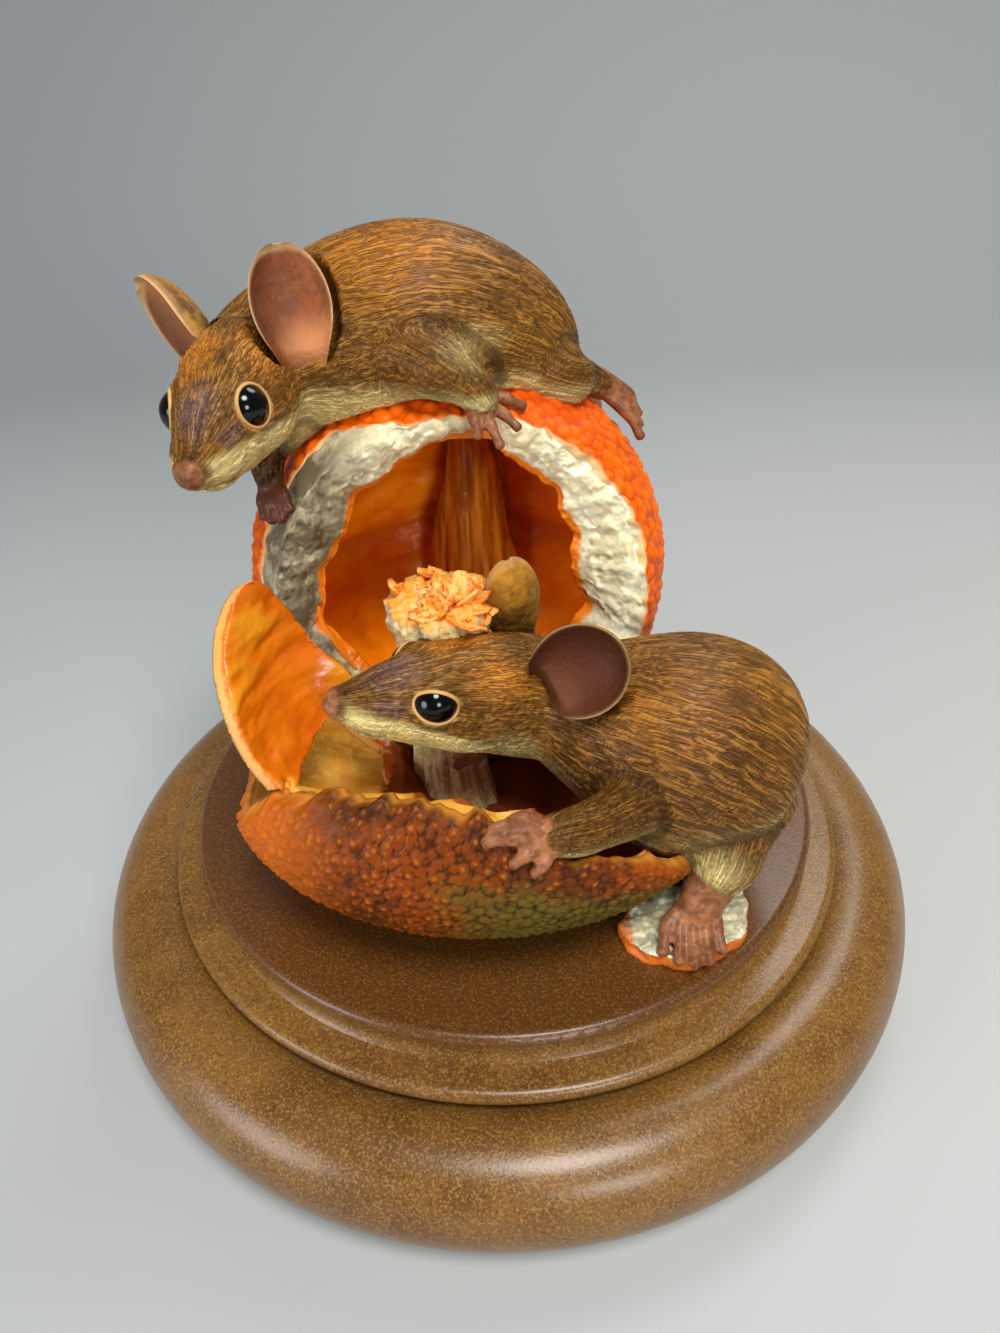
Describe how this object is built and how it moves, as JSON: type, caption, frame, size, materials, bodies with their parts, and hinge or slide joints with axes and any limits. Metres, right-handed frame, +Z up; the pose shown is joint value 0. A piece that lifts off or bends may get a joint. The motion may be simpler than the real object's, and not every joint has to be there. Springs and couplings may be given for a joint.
{
  "type": "mouse figurine",
  "caption": "Figurine of mice climbing and leaning on a half-eaten orange with its peel torn open, on a turned round plinth with a stepped edge.",
  "frame": {"origin": "centre of the underside of the baize pad", "axes": "+Z up, the open side of the orange and the viewer on -Y"},
  "size_m": [0.14, 0.14, 0.1143],
  "materials": {
    "plinth_wood": "satin, speckled",
    "baize": "napped",
    "steel": "satin",
    "orange_peel": "painted resin",
    "pith": "painted resin",
    "orange_flesh": "painted resin",
    "fur": "painted resin",
    "bare_skin": "painted resin",
    "eye": "gloss"
  },
  "bodies": {
    "root": {"plinth": "plinth_wood", "baize_pad": "baize", "fixing_screws": "steel", "fixing_washers": "steel", "orange_rind": "orange_peel", "orange_pith": "pith", "segment_walls": "orange_flesh", "peel_bowl": "orange_peel", "bowl_lining": "pith", "foot_scrap": "pith", "core_stump": "pith", "peel_petal": "orange_flesh", "upper_mouse_body": "fur", "upper_mouse_head": "fur", "upper_mouse_ear_left": "bare_skin", "upper_mouse_eye_left": "eye", "upper_mouse_foreleg_left": "bare_skin", "upper_mouse_hind_leg_left": "bare_skin", "upper_mouse_ear_right": "bare_skin", "upper_mouse_eye_right": "eye", "upper_mouse_foreleg_right": "bare_skin", "upper_mouse_hind_leg_right": "bare_skin", "upper_mouse_tail": "bare_skin", "front_mouse_body": "fur", "front_mouse_head": "fur", "front_mouse_ear_left": "bare_skin", "front_mouse_eye_left": "eye", "front_mouse_foreleg_left": "bare_skin", "front_mouse_hind_leg_left": "bare_skin", "front_mouse_ear_right": "bare_skin", "front_mouse_eye_right": "eye", "front_mouse_foreleg_right": "bare_skin", "front_mouse_hind_leg_right": "bare_skin", "front_mouse_tail": "bare_skin"}
  },
  "joints": []
}
